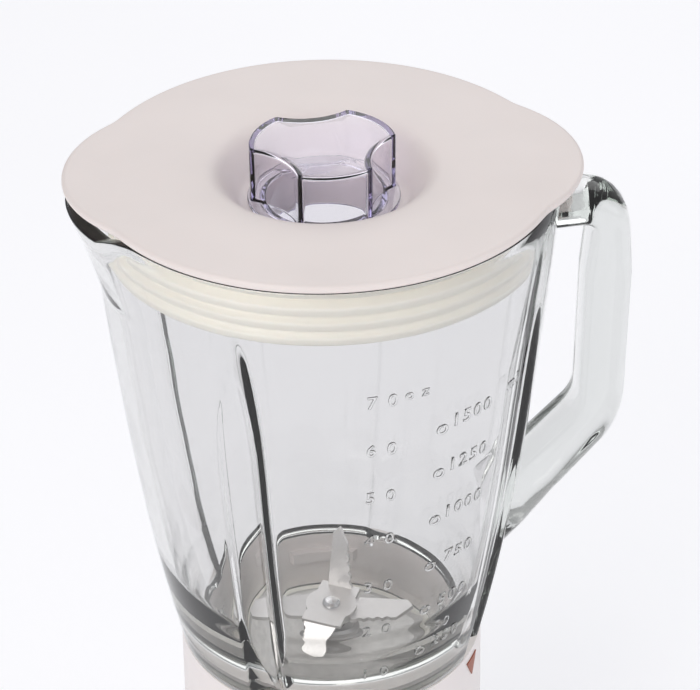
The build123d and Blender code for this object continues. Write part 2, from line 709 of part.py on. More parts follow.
def build_jug():
    """Thick glass jug: fluted wall, spout, handle, stepped floor ring and bayonet neck."""
    with BuildPart() as outside:
        with BuildSketch(Plane.XZ):
            with BuildLine():
                Line((0, JUG_TOP), (wall_radius(JUG_TOP), JUG_TOP))
                Spline(*wall_line(0, JUG_TOP, COLLAR_TOP))
                Polyline(
                    (wall_radius(COLLAR_TOP), COLLAR_TOP), (NECK_OUTER, COLLAR_TOP),
                    (NECK_OUTER, NECK_BOTTOM), (0, NECK_BOTTOM), (0, JUG_TOP),
                )
            make_face()
        revolve(axis=Axis.Z)
        add(spout(0, LID_TOP - 8))
        add(handle())
        with PolarLocations(0, 4, start_angle=FLUTE_START_ANGLE):
            add(flute(FLUTE_R), mode=Mode.SUBTRACT)
    with BuildPart() as inside:
        with BuildSketch(Plane.XZ):
            with BuildLine():
                Line((0, JUG_TOP + 1), (wall_radius(JUG_TOP) - JUG_WALL, JUG_TOP + 1))
                Line(
                    (wall_radius(JUG_TOP) - JUG_WALL, JUG_TOP + 1),
                    (wall_radius(JUG_TOP) - JUG_WALL, JUG_TOP),
                )
                Spline(*wall_line(-JUG_WALL, JUG_TOP, TERRACE_TOP))
                Polyline(
                    (wall_radius(TERRACE_TOP) - JUG_WALL, TERRACE_TOP), (56.4, 233.5), (55.0, 227),
                    (53.2, 224.5), (51.6, 216), (49.6, 213.5), (47.6, 203), (45.2, 200.5),
                    (NECK_INNER, 190), (NECK_INNER, NECK_BOTTOM - 1), (0, NECK_BOTTOM - 1),
                    (0, JUG_TOP + 1),
                )
            make_face()
        revolve(axis=Axis.Z)
        add(spout(JUG_WALL, JUG_TOP + 1))
        with PolarLocations(0, 4, start_angle=FLUTE_START_ANGLE):
            add(flute(FLUTE_R + JUG_WALL), mode=Mode.SUBTRACT)
    with BuildPart() as jug:
        add(outside.part)
        add(inside.part, mode=Mode.SUBTRACT)
        # bayonet lugs under the collar's lips
        with BuildSketch(Plane.XY.offset(180)) as lugs:
            with PolarLocations(48.2, 4):
                Rectangle(3.2, 14)
        extrude(lugs.sketch, amount=4)
    save(jug, "jug_glass")


# ---- Lid and measuring cap --------------------------------------------------------

def build_lid():
    """Lid plate with two tabs and a dished middle, its skirt and the ribbed seal."""
    under = LID_TOP - LID_T
    with BuildPart() as lid:
        with BuildSketch(Plane.XY.offset(under)):
            Circle(LID_R)
            with Locations((TAB_X, 0), (-TAB_X, 0)):
                Circle(TAB_R)
        extrude(amount=LID_T)
        chamfer(lid.edges().group_by(Axis.Z)[-1], 1)
        tube(under - 1, LID_TOP + 1, 43, mode=Mode.SUBTRACT)
        spin([
            (21.2, LID_FLOOR), (27.6, LID_FLOOR), (35, LID_TOP - 2), (37.5, LID_TOP - 0.6),
            (43, LID_TOP), (43, under), (37.4, under - 0.6), (29.8, LID_FLOOR - 2.2),
            (23.2, LID_FLOOR - 2.2), (23.2, FEED_LOW), (21.2, FEED_LOW),
        ])
        tube(LID_TOP - 23, under, 67, 64.5)
    save(lid, "lid_shell")

    ribs = 4
    pitch = 5.4
    with BuildPart() as seal:
        tube(LID_TOP - 23.5, under - 0.2, 69.6, 67)
        for k in range(ribs):
            middle = under - 2.6 - pitch * k
            reach = wall_radius(middle) - JUG_WALL - 0.6
            spin([(69, middle + 1.8), (reach, middle + 0.5), (reach, middle - 0.8), (69, middle - 1.8)])
    save(seal, "lid_seal")


def cap_plan(inset):
    """Three-lobed plan of the cap's grip, drawn in by an inset."""
    recess_r, recess_x = 22.9, 40.4
    with BuildSketch() as plan:
        Circle(CAP_R - inset)
        with PolarLocations(recess_x, 3, start_angle=96.5):
            Circle(recess_r + inset, mode=Mode.SUBTRACT)
    return plan.sketch


def build_cap():
    """Clear measuring cap: a lobed grip, closed on top, over a round plug."""
    seat = LID_FLOOR + 0.1
    floor_hole = 15.2
    with BuildPart() as cap:
        with BuildSketch(Plane.XY.offset(seat)):
            add(cap_plan(0))
        extrude(amount=CAP_TOP - seat)
        tube(seat, seat + 1.5, CAP_R + 1)
        with BuildSketch(Plane.XY.offset(seat + 1.5)):
            add(cap_plan(CAP_WALL))
        extrude(amount=CAP_TOP - CAP_WALL - seat - 1.5, mode=Mode.SUBTRACT)
        tube(seat - 1, seat + 2, floor_hole, mode=Mode.SUBTRACT)
        tube(seat - 15, seat, CAP_PLUG_R, CAP_PLUG_R - 1.8)
        tube(seat - 1.5, seat, CAP_PLUG_R, floor_hole)
    save(cap, "measuring_cap")


build_base_housing()
build_base_plate()
build_feet_and_screws()
build_deck_seal()
build_inlet_and_controls()
build_stator()
build_brackets()
build_motor_mounts()
build_brush_gear()
build_rotor()
build_knob()
build_interlock_pin()
build_collar()
build_dish()
build_blades()
build_jug()
build_lid()
build_cap()
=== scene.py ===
import math

import bmesh
import bpy
import numpy as np
from mathutils import Matrix, Vector


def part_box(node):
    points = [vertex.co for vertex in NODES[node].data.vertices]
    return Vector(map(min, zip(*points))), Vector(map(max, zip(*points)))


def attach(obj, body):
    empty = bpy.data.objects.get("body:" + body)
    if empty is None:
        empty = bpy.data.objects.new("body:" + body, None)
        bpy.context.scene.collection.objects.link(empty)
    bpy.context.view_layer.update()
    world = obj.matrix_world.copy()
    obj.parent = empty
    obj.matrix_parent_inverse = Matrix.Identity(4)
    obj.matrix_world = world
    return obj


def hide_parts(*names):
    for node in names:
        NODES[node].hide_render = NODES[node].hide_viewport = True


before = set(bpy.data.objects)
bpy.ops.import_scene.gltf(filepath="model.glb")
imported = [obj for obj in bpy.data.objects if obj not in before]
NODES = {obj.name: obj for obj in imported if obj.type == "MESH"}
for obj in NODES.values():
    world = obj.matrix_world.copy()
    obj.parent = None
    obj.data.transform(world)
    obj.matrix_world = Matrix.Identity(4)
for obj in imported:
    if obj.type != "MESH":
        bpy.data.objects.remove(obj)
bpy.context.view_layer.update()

# Countertop blender. Lengths in the shape functions are millimetres in the part's own frame:
# +Z up on the blade axis, +X towards the handle. MM turns them into metres.
MM = 0.001


def low(node):
    """Lowest corner of a CAD node, in millimetres."""
    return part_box(node)[0] / MM


def high(node):
    """Highest corner of a CAD node, in millimetres."""
    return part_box(node)[1] / MM


LID_TOP = high("lid_shell").z
JUG_TOP = high("jug_glass").z
NECK_BOTTOM = low("jug_glass").z
COLLAR_TOP = high("jug_collar").z
CAP_TOP = high("measuring_cap").z
LID_R = high("lid_shell").y
TAB_REACH = high("lid_shell").x


# ---- Camera -----------------------------------------------------------------------

def make_camera():
    """Looks down at the front, a little from the left, with a long lens."""
    elevation, turn, roll = 33.244, -4.5, -0.603
    data = bpy.data.cameras.new("camera")
    data.sensor_width = 36
    data.lens = 113.1
    camera = bpy.data.objects.new("camera", data)
    bpy.context.scene.collection.objects.link(camera)
    spin = Matrix.Rotation(math.radians(turn), 4, "Z")
    tilt = Matrix.Rotation(math.radians(90 - elevation), 4, "X")
    lean = Matrix.Rotation(math.radians(roll), 4, "Z")
    place = Matrix.Translation(Vector((-41.55, -629.8, LID_TOP + 342.5)) * MM)
    camera.matrix_world = place @ spin @ tilt @ lean
    bpy.context.scene.camera = camera


# ---- Material helpers ---------------------------------------------------------------

class Nodes:
    """A new material's node tree, with short calls to add and join nodes."""

    def __init__(self, name):
        self.material = bpy.data.materials.new(name)
        self.material.use_nodes = True
        self.tree = self.material.node_tree
        self.shader = self.tree.nodes["Principled BSDF"]

    def add(self, kind, **inputs):
        node = self.tree.nodes.new(kind)
        for key, value in inputs.items():
            node.inputs[key.replace("_", " ")].default_value = value
        return node

    def join(self, out_socket, in_socket):
        self.tree.links.new(out_socket, in_socket)

    def set(self, **inputs):
        for key, value in inputs.items():
            self.shader.inputs[key.replace("_", " ")].default_value = value

    def place(self):
        return self.add("ShaderNodeTexCoord").outputs["Object"]

    def noise(self, scale, detail=3.0, stretch=None):
        """Noise of a scale per metre, drawn out along an axis by stretch."""
        node = self.add("ShaderNodeTexNoise", Scale=scale, Detail=detail)
        source = self.place()
        if stretch:
            mapping = self.add("ShaderNodeMapping")
            mapping.inputs["Scale"].default_value = stretch
            self.join(source, mapping.inputs["Vector"])
            source = mapping.outputs["Vector"]
        self.join(source, node.inputs["Vector"])
        return node.outputs["Fac"]

    def ramp(self, source, first, second, start=0.3, end=0.7):
        """Colour between first and second, driven by a source."""
        node = self.add("ShaderNodeValToRGB")
        node.color_ramp.elements[0].position = start
        node.color_ramp.elements[1].position = end
        node.color_ramp.elements[0].color = (*first, 1)
        node.color_ramp.elements[1].color = (*second, 1)
        self.join(source, node.inputs["Fac"])
        return node.outputs["Color"]

    def colour(self, source, first, second, start=0.3, end=0.7):
        self.join(self.ramp(source, first, second, start, end), self.shader.inputs["Base Color"])

    def rough(self, source, smallest, largest):
        node = self.add("ShaderNodeMapRange")
        node.inputs["To Min"].default_value = smallest
        node.inputs["To Max"].default_value = largest
        self.join(source, node.inputs["Value"])
        self.join(node.outputs["Result"], self.shader.inputs["Roughness"])

    def bump(self, source, height_mm, strength=1.0):
        node = self.add("ShaderNodeBump", Strength=strength, Distance=height_mm * MM)
        self.join(source, node.inputs["Height"])
        self.join(node.outputs["Normal"], self.shader.inputs["Normal"])


def shade(colour, factor):
    return tuple(min(1.0, c * factor) for c in colour)


def moulded(name, colour, smallest=0.3, largest=0.42, grain=2600, height=0.012, coat=0.0, soft=0.0,
            painted_glow=0.0):
    """Moulded plastic or rubber: faint cloudiness in colour, fine grain in the surface, and an optional
    painted glow: painted light, an emission that brightens a part lying in shade.
    """
    m = Nodes(name)
    m.colour(m.noise(18, 4), shade(colour, 0.965), shade(colour, 1.02))
    m.rough(m.noise(55, 3), smallest, largest)
    m.bump(m.noise(grain, 2), height)
    m.set(IOR=1.49, Coat_Weight=coat, Subsurface_Weight=soft)
    if soft:
        m.set(Subsurface_Radius=(0.004, 0.003, 0.0025))
    # painted light: the part glows in its own colour, to lighten it where it lies in shade
    if painted_glow:
        m.set(Emission_Color=(*colour, 1), Emission_Strength=painted_glow)
    return m.material


def metal(name, colour, smallest, largest, stretch, height=0.006, grain=900, metallic=1.0):
    """Ground or cast metal: streaks drawn out along one direction."""
    m = Nodes(name)
    streak = m.noise(grain, 4, stretch)
    m.colour(streak, shade(colour, 0.86), shade(colour, 1.08))
    m.rough(streak, smallest, largest)
    m.bump(streak, height)
    m.set(Metallic=metallic)
    return m.material


def clear(name, face, tint, density, ior, wave_scale, wave_height):
    """Clear glass or plastic: a slight tint per wall, waviness, and a tint that grows inside."""
    m = Nodes(name)
    m.set(Base_Color=(*face, 1), Transmission_Weight=1.0, IOR=ior, Roughness=0.0)
    m.bump(m.noise(wave_scale, 1), wave_height)
    output = m.tree.nodes["Material Output"]
    absorb = m.add("ShaderNodeVolumeAbsorption", Color=(*tint, 1), Density=density)
    m.join(absorb.outputs["Volume"], output.inputs["Volume"])
    # light passes the clear walls, so what is inside is lit as through real glass
    open_shade = m.add("ShaderNodeBsdfTransparent", Color=(0.93, 0.93, 0.93, 1))
    path = m.add("ShaderNodeLightPath")
    mix = m.add("ShaderNodeMixShader")
    m.join(path.outputs["Is Shadow Ray"], mix.inputs[0])
    m.join(m.shader.outputs["BSDF"], mix.inputs[1])
    m.join(open_shade.outputs["BSDF"], mix.inputs[2])
    m.join(mix.outputs["Shader"], output.inputs["Surface"])
    return m.material


def layered(name, first, second, spacing_mm, axis, metallic=0.0, rough=0.45, height=0.12):
    """Stacked sheets or wound wire: bands of a spacing along an axis."""
    m = Nodes(name)
    wave = m.add("ShaderNodeTexWave", Scale=0.5 / (spacing_mm * MM), Distortion=0.4)
    wave.bands_direction = axis
    m.join(m.place(), wave.inputs["Vector"])
    m.colour(wave.outputs["Fac"], first, second, 0.2, 0.8)
    m.bump(wave.outputs["Fac"], height)
    m.set(Metallic=metallic, Roughness=rough)
    return m.material


def make_materials():
    turned = (1, 1, 30)
    return {
        "housing": moulded("housing_white_plastic", (0.80, 0.77, 0.755), 0.22, 0.32, 1900, 0.008,
                           coat=0.25),
        "collar": moulded("collar_white_plastic", (0.80, 0.745, 0.735), 0.28, 0.38, 2100, 0.008,
                          soft=0.05),
        "lid": moulded("lid_pale_plastic", (0.805, 0.731, 0.706), 0.36, 0.48, 1500, 0.02, soft=0.06),
        # painted light: the seal glows faintly, to lighten it in the shade under the lid's edge and
        # behind the glass
        "seal": moulded("seal_cream_silicone", (0.93, 0.90, 0.83), 0.40, 0.52, 1200, 0.02, soft=0.12,
                        painted_glow=0.05),
        "glass": clear("jug_clear_glass", (0.885, 0.878, 0.882), (0.60, 0.68, 0.61), 13, 1.50, 32, 0.10),
        "mark": clear("jug_marks_glass", (0.99, 0.99, 0.99), (0.60, 0.68, 0.61), 13, 1.50, 60, 0.02),
        "cap": clear("cap_violet_plastic", (0.985, 0.98, 0.985), (0.46, 0.38, 0.74), 52, 1.48, 40, 0.03),
        "blade": metal("blade_ground_steel", (0.70, 0.685, 0.675), 0.32, 0.44, (1, 14, 1), 0.004),
        "dish": metal("dish_satin_steel", (0.80, 0.785, 0.765), 0.42, 0.56, (1, 1, 1), 0.004, 240, 0.3),
        "hub": metal("hub_dark_steel", (0.42, 0.41, 0.40), 0.3, 0.44, turned, 0.006),
        "shaft": metal("shaft_ground_steel", (0.72, 0.72, 0.73), 0.12, 0.24, turned),
        "zinc": metal("screw_zinc", (0.66, 0.67, 0.69), 0.28, 0.42, (1, 1, 1), 0.01),
        "cast": metal("bracket_cast", (0.64, 0.65, 0.66), 0.42, 0.6, (1, 1, 1), 0.05, 500),
        "bronze": metal("bush_bronze", (0.56, 0.40, 0.20), 0.3, 0.46, turned),
        "copper_bars": metal("commutator_copper", (0.74, 0.42, 0.25), 0.2, 0.34, turned),
        "wire": layered("winding_copper", (0.30, 0.10, 0.04), (0.72, 0.34, 0.16), 0.9, "Z", 0.7, 0.3),
        "stack": layered("stack_laminations", (0.12, 0.12, 0.13), (0.34, 0.34, 0.35), 0.6, "Z", 0.8,
                         0.45, 0.06),
        "rubber_black": moulded("rubber_black", (0.030, 0.030, 0.031), 0.6, 0.78, 1400, 0.03),
        "rubber_grey": moulded("rubber_grey", (0.33, 0.33, 0.33), 0.55, 0.7, 1400, 0.03),
        "carbon": moulded("brush_carbon", (0.035, 0.035, 0.036), 0.5, 0.7, 3000, 0.03),
        "plastic_black": moulded("plastic_black", (0.045, 0.045, 0.047), 0.35, 0.5, 2400, 0.015),
        "plastic_grey": moulded("plastic_grey", (0.42, 0.42, 0.42), 0.38, 0.52, 2400, 0.015),
        "nylon": moulded("fan_nylon", (0.70, 0.68, 0.60), 0.35, 0.5, 1500, 0.015, soft=0.1),
        "board": moulded("board_green", (0.05, 0.19, 0.09), 0.3, 0.45, 1200, 0.02, coat=0.3),
        "capacitor": moulded("capacitor_yellow", (0.72, 0.55, 0.12), 0.3, 0.4, 1800, 0.01),
        "red": moulded("mark_red_brown", (0.30, 0.065, 0.022), 0.35, 0.45, 1600, 0.01),
    }


CAD_FINISH = {
    "base_plate": "plastic_grey", "base_screws": "zinc", "deck_seal": "rubber_grey",
    "cord_gland": "plastic_black", "speed_switch": "plastic_black", "circuit_board": "board",
    "suppressor_capacitor": "capacitor", "rectifier": "plastic_black",
    "interlock_switch": "plastic_black", "motor_stator": "stack", "field_coils": "wire",
    "motor_bracket_upper": "cast", "motor_bracket_lower": "cast", "upper_bearing": "bronze",
    "lower_bearing": "bronze", "motor_bolts": "zinc", "motor_grommets": "rubber_black",
    "motor_screws": "zinc", "brush_holders": "plastic_black", "carbon_brushes": "carbon",
    "rotor_shaft": "shaft", "rotor_core": "stack", "rotor_windings": "wire",
    "commutator": "copper_bars", "cooling_fan": "nylon", "drive_coupling": "plastic_black",
    "knob_spindle": "plastic_grey", "interlock_pin": "plastic_grey",
    "interlock_spring": "shaft", "bearing_nut": "bronze", "blade_bushes": "bronze",
    "shaft_seal": "rubber_black", "blade_shaft": "shaft", "driven_coupling": "plastic_black",
    "bowl_seal": "seal", "knob_pointer": "red", "base_housing": "housing",
    "knob_scale_ring": "plastic_grey", "speed_knob": "housing", "rubber_feet": "rubber_black",
    "jug_collar": "collar", "collar_mark": "red", "blade_dish": "dish",
    "bearing_housing": "hub", "blade_lower": "blade", "blade_upper": "blade",
    "blade_rivet": "shaft", "jug_glass": "glass", "lid_shell": "lid", "lid_seal": "seal",
    "measuring_cap": "cap",
}


# ---- Mesh helpers -------------------------------------------------------------------

def finish_mesh(mesh, material, crease=38):
    mesh.materials.clear()
    mesh.materials.append(material)
    mesh.shade_smooth()
    mesh.set_sharp_from_angle(angle=math.radians(crease))


def new_piece(name, points, faces, material, crease=38):
    """Object from points in millimetres, with outward faces."""
    mesh = bpy.data.meshes.new(name)
    mesh.from_pydata([tuple(p) for p in np.asarray(points) * MM], [], faces)
    bm = bmesh.new()
    bm.from_mesh(mesh)
    bmesh.ops.remove_doubles(bm, verts=bm.verts, dist=1e-7)
    bmesh.ops.recalc_face_normals(bm, faces=bm.faces)
    bm.to_mesh(mesh)
    bm.free()
    finish_mesh(mesh, material, crease)
    piece = bpy.data.objects.new(name, mesh)
    bpy.context.scene.collection.objects.link(piece)
    return piece


def grid_faces(rows, columns, closed_rows):
    """Quads of a grid whose columns wrap round, and whose rows wrap too if closed."""
    last = rows if closed_rows else rows - 1
    faces = []
    for i in range(last):
        j = (i + 1) % rows
        for k in range(columns):
            n = (k + 1) % columns
            faces.append((i * columns + k, i * columns + n, j * columns + n, j * columns + k))
    return faces


def rounded(corners, steps=5):
    """Outline through (radius, height, rounding) corners, each cut by an arc of its rounding."""
    points = []
    count = len(corners)
    for i, (r, z, size) in enumerate(corners):
        here = np.array((r, z), float)
        before = np.array(corners[i - 1][:2], float) - here
        after = np.array(corners[(i + 1) % count][:2], float) - here
        reach = min(size, np.linalg.norm(before) * 0.48, np.linalg.norm(after) * 0.48)
        if reach < 0.01:
            points.append(here)
            continue
        a = here + before / np.linalg.norm(before) * reach
        b = here + after / np.linalg.norm(after) * reach
        for t in np.linspace(0, 1, steps + 1):
            points.append((1 - t) ** 2 * a + 2 * t * (1 - t) * here + t * t * b)
    return np.array(points)


def lathe(name, outline, material, columns=144, reach=None, crease=38):
    """Ring from a closed (radius, height) outline. reach(angle, r, z) may reshape its radius."""
    angles = np.linspace(0, 2 * math.pi, columns, endpoint=False)
    r = np.repeat(outline[:, 0][:, None], columns, 1)
    z = np.repeat(outline[:, 1][:, None], columns, 1)
    a = np.repeat(angles[None, :], len(outline), 0)
    if reach:
        r, z = reach(a, r, z)
    points = np.stack((r * np.cos(a), r * np.sin(a), z), -1).reshape(-1, 3)
    return new_piece(name, points, grid_faces(len(outline), columns, True), material, crease)


def dress(piece, body, slot, *nodes):
    """The piece rides on a body and stands for its CAD nodes, which it hides; slot is not used."""
    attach(piece, body)
    if nodes:
        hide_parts(*nodes)


def unite(piece, other):
    """Joins two pieces into one closed mesh; the other one is used up."""
    modifier = piece.modifiers.new("boolean", "BOOLEAN")
    modifier.operation = "UNION"
    modifier.solver = "EXACT"
    modifier.object = other
    bpy.context.view_layer.update()
    graph = bpy.context.evaluated_depsgraph_get()
    mesh = bpy.data.meshes.new_from_object(piece.evaluated_get(graph))
    piece.modifiers.clear()
    old = piece.data
    piece.data = mesh
    bpy.data.meshes.remove(old)
    bpy.data.objects.remove(other)


# ---- Glass jug ----------------------------------------------------------------------

WALL = 4.5
NECK_OUTER, NECK_INNER = 47.6, 42.5
RIM = 0.4
RIM_TUCK = 1.6
BOWL_LOW, BOWL_TOP = 190, 240
BOWL_STEPS, STEP_HEIGHT = 4, 0.07

FLUTE_ANGLES = [math.radians(62.5 + 90 * k) for k in range(4)]
FLUTE_TOP = LID_TOP - 78.5
FLUTE_POINT = 0.156     # how fast a flute narrows above FLUTE_TOP
REAR_FLUTE = 0.45       # depth of the rear flutes, as a share of the front ones
# radius of the bar that presses a flute, how far its centre stands off the wall, softness
OUTER_BAR = (7.6, 3.6, 0.4)
INNER_BAR = (12.0, 8.2, 1.0)

SPOUT_HALF = math.radians(36)
SPOUT_REACH = 6.3
SPOUT_DROP = 5.0
SPOUT_LOW, SPOUT_RISE = 34, 26      # depth under the lid where the flare starts, and its height
BEAD_LOW, BEAD_HEIGHT = 14, 0.9     # depth that the lip's bead reaches, and how far it stands out

HANDLE_X = 95.4
HANDLE_HALF_WIDTH = 11.0
BURIED = (1.8, 2.4)     # the handle's ends lie this far under the wall's face, least and most


def wall_radius(z):
    """Outer radius of the plain wall: a cubic of the height above the lid's top."""
    t = (z - LID_TOP) / 100
    return 78.09 + 7.59 * t + 0.463 * t ** 2 + 1.458 * t ** 3


def soft_floor(x, softness):
    """x where it is positive and 0 where it is negative, with a rounded corner."""
    return 0.5 * (x + np.sqrt(x * x + softness * softness))


def groove(angle, z, radius, outset, softness):
    """Depth of the flutes: round bars that follow the wall, with pointed tops."""
    above = np.maximum(0, z - FLUTE_TOP) * FLUTE_POINT
    deepest = np.full_like(angle, -1e3)
    for centre in FLUTE_ANGLES:
        turn = np.abs((angle - centre + math.pi) % (2 * math.pi) - math.pi)
        distance = np.hypot(turn * wall_radius(z), above)
        inside = np.sqrt(np.maximum(radius ** 2 - distance ** 2, 0)) - outset
        outside = -outset - 1.6 * (distance - radius)
        share = 1.0 if math.sin(centre) < 0 else REAR_FLUTE
        deepest = np.maximum(deepest, share * np.where(distance < radius, inside, outside))
    return soft_floor(deepest, softness)


def rim_tuck(z):
    """How far the rim turns in, so that it hides under the lid's edge."""
    return RIM_TUCK * np.exp(-np.maximum(JUG_TOP - z, 0) / 2.0)


def spout_flare(angle, z, inset):
    """How far the spout stands out, most at the rim on -X. inset is 0 outside and 1 inside."""
    turn = np.abs(angle % (2 * math.pi) - math.pi)
    spread = 0.5 + 0.5 * np.cos(np.minimum(turn / SPOUT_HALF, 1) * math.pi)
    depth = LID_TOP - z
    rise = np.clip((SPOUT_LOW - depth) / SPOUT_RISE, 0, 1.15)
    bead = BEAD_HEIGHT / (1 + np.exp((depth - BEAD_LOW) * 0.8))
    flare = spread * SPOUT_REACH * rise ** 0.95
    return flare + np.minimum(spread * 2.2, 1) * bead * (1 - inset * 1.3)


def soft_max(a, b, softness):
    """The larger of a and b, with a rounded corner where they cross."""
    return 0.5 * (a + b + np.sqrt((a - b) ** 2 + softness ** 2))


def inner_cone(z):
    """Inner radius of the jug's bottom: the wall thickens down to the neck, in soft steps."""
    share = np.clip((z - BOWL_LOW) / (BOWL_TOP - BOWL_LOW), 0, 1)
    halves = BOWL_STEPS * 2
    fade = np.clip(share * halves, 0, 1) * np.clip((1 - share) * halves, 0, 1)
    wave = -STEP_HEIGHT * np.sin(share * halves * math.pi) * fade
    thickening = (wall_radius(BOWL_LOW) - WALL - NECK_INNER) * (1 - share) ** 1.5
    return wall_radius(z) - WALL - thickening + wave


def outer_wall(angle, z):
    """Outer radius of the jug at an angle and height."""
    plain = wall_radius(z) - groove(angle, z, *OUTER_BAR)
    return plain - rim_tuck(z) + spout_flare(angle, z, 0)


def inner_wall(angle, z):
    """Inner radius of the jug at an angle and height: the bowl below, the plain wall above."""
    plain = wall_radius(z) - WALL
    stepped = np.where(z < BOWL_TOP, inner_cone(z), plain + 50)
    bulged = plain - groove(angle, z, *INNER_BAR)
    return np.minimum(stepped, bulged - rim_tuck(z) * 0.5 + spout_flare(angle, z, 1))


def spread_angles(coarse, fine, half_width):
    """Angles round the jug, finer within half_width of the flutes and the spout."""
    centres = FLUTE_ANGLES + [math.pi, math.pi + 0.3, math.pi - 0.3]
    angle, angles = 0.0, []
    while angle < 2 * math.pi - fine * 0.5:
        angles.append(angle)
        near = min(abs((angle - c + math.pi) % (2 * math.pi) - math.pi) for c in centres)
        angle += fine if near < half_width else coarse
    return np.array(angles)


def jug_body(material):
    """Closed ring of the whole wall: out, over the rim, down the stepped inside, under the neck."""
    angles = spread_angles(math.radians(1.25), math.radians(0.55), math.radians(10))
    columns = len(angles)
    rows = []

    def add(radius, z):
        z = np.broadcast_to(z, (columns,)).astype(float)
        drop = lift * np.clip((z - (LID_TOP - 40)) / (JUG_TOP - LID_TOP + 40), 0, 1) ** 2
        z = z - drop
        r = radius(angles, z) if callable(radius) else np.full(columns, float(radius))
        rows.append(np.stack((r * np.cos(angles), r * np.sin(angles), z), -1))

    turn = np.abs(angles - math.pi)
    lift = SPOUT_DROP * np.clip((math.radians(38) - turn) / math.radians(16), 0, 1) ** 2

    add(NECK_OUTER, NECK_BOTTOM + 0.6)
    add(NECK_OUTER, NECK_BOTTOM + 4)
    add(NECK_OUTER, COLLAR_TOP - 1.0)
    for share in (0.15, 0.5, 0.85):
        add(lambda a, z, s=share: NECK_OUTER + s * (outer_wall(a, z) - NECK_OUTER - 0.6),
            COLLAR_TOP + 0.2)
    for z in np.concatenate((
            [COLLAR_TOP + 0.7], np.linspace(COLLAR_TOP + 1.6, JUG_TOP - RIM, 124))):
        add(outer_wall, z)
    for share, down in ((0.02, 0.12), (0.06, 0.02), (0.2, 0), (0.75, 0), (0.9, 0.12), (0.97, 0.5)):
        add(lambda a, z, s=share: outer_wall(a, JUG_TOP - RIM - lift) * (1 - s)
            + s * inner_wall(a, JUG_TOP - RIM - lift), JUG_TOP - down)
    for z in np.linspace(JUG_TOP - RIM, BOWL_TOP + 1, 84):
        add(inner_wall, z)
    for z in np.linspace(BOWL_TOP, BOWL_LOW, 64):
        add(inner_wall, z)
    add(NECK_INNER, BOWL_LOW - 6)
    add(NECK_INNER, NECK_BOTTOM + 0.6)
    add(NECK_INNER + 0.6, NECK_BOTTOM)
    add(NECK_OUTER - 0.6, NECK_BOTTOM)
    points = np.array(rows).reshape(-1, 3)
    faces = grid_faces(len(rows), columns, True)
    return new_piece("jug_wall_and_handle", points, faces, material, 60)


def handle_path():
    """Stations of the handle's centre line as (x, z, thickness)."""
    top = LID_TOP
    corners = [
        (72, top - 18, 0), (HANDLE_X, top - 18.2, 10), (HANDLE_X, top - 101, 9), (61, top - 141.5, 0),
    ]
    line = rounded(corners, 14)
    steps = np.linalg.norm(np.diff(line, axis=0), axis=1)
    along = np.concatenate(([0], np.cumsum(steps)))
    keep = np.linspace(0, along[-1], 74)
    x = np.interp(keep, along, line[:, 0])
    z = np.interp(keep, along, line[:, 1])
    share = keep / along[-1]
    thick = np.interp(
        share, [0, 0.08, 0.17, 0.3, 0.62, 0.74, 1.0], [13.5, 12.2, 13.5, 17, 17, 18.5, 22])
    return x, z, thick


def jug_handle(material):
    """Solid bar of glass with rounded flats, running from the rim to the wall's middle."""
    x, z, thick = handle_path()
    across = 44
    t = np.linspace(0, 2 * math.pi, across, endpoint=False)
    # the outer side is rounder than the side towards the jug
    power = np.where(np.sin(t) > 0, 0.8, 0.5)
    u = np.sign(np.cos(t)) * np.abs(np.cos(t)) ** power
    v = np.sign(np.sin(t)) * np.abs(np.sin(t)) ** power
    points = []
    for i in range(len(x)):
        j, k = max(i - 1, 0), min(i + 1, len(x) - 1)
        direction = np.array((x[k] - x[j], z[k] - z[j]))
        direction /= np.linalg.norm(direction)
        side = np.array((-direction[1], direction[0]))
        flare = 1.0 + 0.12 * max(0.0, 1 - i / 6) + 0.16 * max(0.0, 1 - (len(x) - 1 - i) / 8)
        for a, b in zip(u, v):
            offset = side * b * thick[i] / 2
            px, pz, py = x[i] + offset[0], z[i] + offset[1], a * HANDLE_HALF_WIDTH * flare
            if i in (0, len(x) - 1):
                step = -direction if i == 0 else direction
                for _ in range(60):
                    if math.hypot(px, py) <= wall_radius(pz) - BURIED[0]:
                        break
                    px, pz = px + step[0] * 0.5, pz + step[1] * 0.5
                while math.hypot(px, py) < wall_radius(pz) - BURIED[1]:
                    px, pz = px - step[0] * 0.3, pz - step[1] * 0.3
            points.append((px, py, pz))
    faces = grid_faces(len(x), across, False)
    faces.append(tuple(range(across)))
    faces.append(tuple((len(x) - 1) * across + k for k in reversed(range(across))))
    return new_piece("handle", points, faces, material, 50)


def on_wall(points, angle, z, height):
    """Bends flat text points (across, up, out) round the jug's wall."""
    radius = wall_radius(z)
    turn = angle + points[:, 0] / radius
    heights = z + points[:, 1]
    r = wall_radius(heights) + points[:, 2] + height
    return np.stack((r * np.cos(turn), r * np.sin(turn), heights), -1)


def flat_text(text, size, depth, bevel, spacing=1.25):
    """Mesh data of raised text that starts at its origin: points in millimetres and faces."""
    curve = bpy.data.curves.new("text", "FONT")
    curve.body = text
    curve.size = size
    curve.extrude = depth
    curve.bevel_depth = bevel
    curve.bevel_resolution = 1
    curve.resolution_u = 4
    curve.space_character = spacing
    curve.align_x, curve.align_y = "LEFT", "CENTER"
    holder = bpy.data.objects.new("text", curve)
    bpy.context.scene.collection.objects.link(holder)
    bpy.context.view_layer.update()
    graph = bpy.context.evaluated_depsgraph_get()
    mesh = bpy.data.meshes.new_from_object(holder.evaluated_get(graph))
    points = np.array([v.co for v in mesh.vertices])
    faces = [tuple(p.vertices) for p in mesh.polygons]
    bpy.data.objects.remove(holder)
    bpy.data.meshes.remove(mesh)
    return points, faces


# each amount and how far its mark is below the lid's top
MILLILITRES = ((1500, 60.3), (1250, 78.7), (1000, 99.1), (750, 120.2), (500, 141.2), (250, 162))
OUNCES = ((70, 45), (60, 64.5), (50, 84.4), (40, 103.4), (30, 125.1), (20, 146.8), (10, 169.2))


